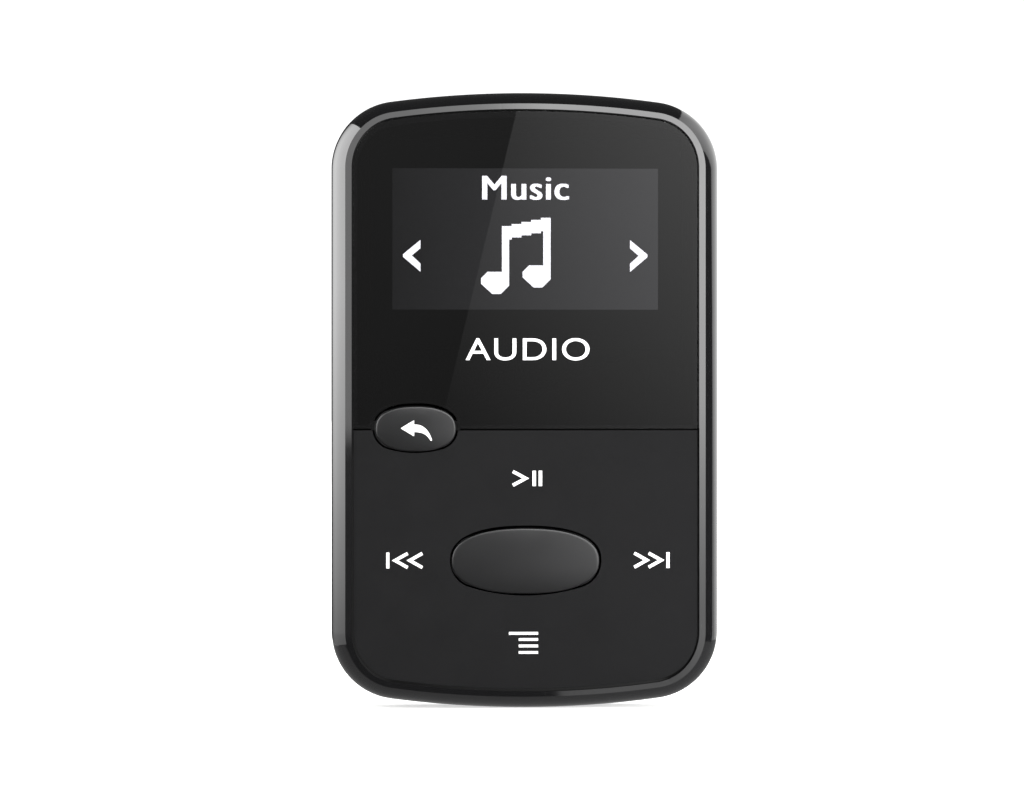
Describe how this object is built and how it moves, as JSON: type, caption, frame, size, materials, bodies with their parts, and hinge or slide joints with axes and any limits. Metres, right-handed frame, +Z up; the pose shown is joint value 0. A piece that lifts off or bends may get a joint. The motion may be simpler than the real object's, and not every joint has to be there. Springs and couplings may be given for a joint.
{
  "type": "digital audio player",
  "caption": "Slim clip-on digital audio player with a smoked display window, a rocking control pad, push keys, a volume rocker and a spring clip on its back.",
  "frame": {"origin": "on the housing's back face, midway across it, at the grip line of the clip's jaw", "axes": "+Z up along the housing towards its top end, +Y out of its back, so the face looks along -Y; +X is to the right of someone looking at the face"},
  "size_m": [0.042, 0.0153, 0.0668],
  "materials": {
    "rear_shell": "fine satin texture",
    "bezel": "gloss",
    "steel": "satin",
    "lens": "gloss, smoked",
    "bonding": "matte",
    "display": "gloss",
    "white_plastic": "matte",
    "flex": "satin",
    "board": "satin solder mask",
    "chip": "matte",
    "pouch": "satin foil",
    "lead_positive": "matte",
    "lead_negative": "matte",
    "black_plastic": "matte",
    "brass": "satin",
    "rubber": "matte",
    "clip": "fine satin texture",
    "pad": "soft matte",
    "keys": "satin",
    "side_keys": "satin"
  },
  "bodies": {
    "housing": {"rear_cover": "rear_shell", "front_bezel": "bezel", "case_screws": "steel", "display_lens": "lens", "lens_adhesive": "bonding", "display_panel": "display", "display_holder": "white_plastic", "display_flex": "flex", "flex_connector": "white_plastic", "main_board": "board", "processor": "chip", "flash_memory": "chip", "pad_domes": "steel", "center_dome": "steel", "back_dome": "steel", "battery_tape": "bonding", "battery": "pouch", "battery_guard_board": "board", "battery_lead_positive": "lead_positive", "battery_lead_negative": "lead_negative", "headphone_jack": "black_plastic", "jack_contacts": "brass", "usb_shell": "steel", "usb_tongue": "black_plastic", "volume_switches": "black_plastic", "volume_plungers": "rubber", "power_switch": "black_plastic", "power_plunger": "rubber", "clip_pin": "steel", "clip_spring": "steel"},
    "clip": {"clip_lever": "clip", "clip_grip": "rubber"},
    "rocker": {"rocker_ring": "steel"},
    "pad": {"control_pad": "pad"},
    "center_key": {"center_button": "keys"},
    "back_key": {"back_button": "keys"},
    "power_key": {"power_button": "side_keys"},
    "volume_key": {"volume_rocker": "side_keys"}
  },
  "joints": [
    {"name": "clip_hinge", "type": "hinge", "parent": "housing", "child": "clip", "pos_m": [0, 0.0023, 0.0275], "axis": [1, 0, 0], "range_deg": [0, 12], "stiffness_Nm_per_rad": 0.05, "deforming": ["clip_spring"]},
    {"name": "pad_tilt_up_down", "type": "hinge", "parent": "housing", "child": "rocker", "pos_m": [0, -0.00786, 0.0031], "axis": [1, 0, 0], "range_deg": [-0.8, 0.8], "stiffness_Nm_per_rad": 0.4, "deforming": ["pad_domes"]},
    {"name": "pad_tilt_left_right", "type": "hinge", "parent": "rocker", "child": "pad", "pos_m": [0, -0.00809, 0.0031], "axis": [0, 0, 1], "range_deg": [-0.8, 0.8], "stiffness_Nm_per_rad": 0.4, "deforming": ["pad_domes"]},
    {"name": "center_press", "type": "slide", "parent": "housing", "child": "center_key", "axis": [0, 1, 0], "range_m": [0, 0.0003], "stiffness_N_per_m": 1500, "deforming": ["center_dome"]},
    {"name": "back_press", "type": "slide", "parent": "housing", "child": "back_key", "axis": [0, 1, 0], "range_m": [0, 0.0003], "stiffness_N_per_m": 1500, "deforming": ["back_dome"]},
    {"name": "power_press", "type": "slide", "parent": "housing", "child": "power_key", "axis": [0, 0, -1], "range_m": [0, 0.0003], "stiffness_N_per_m": 1500, "deforming": ["power_plunger"]},
    {"name": "volume_rock", "type": "hinge", "parent": "housing", "child": "volume_key", "pos_m": [0.01918, -0.0049, 0.0225], "axis": [0, 1, 0], "range_deg": [-2, 2], "stiffness_Nm_per_rad": 0.05, "deforming": ["volume_plungers"]}
  ]
}
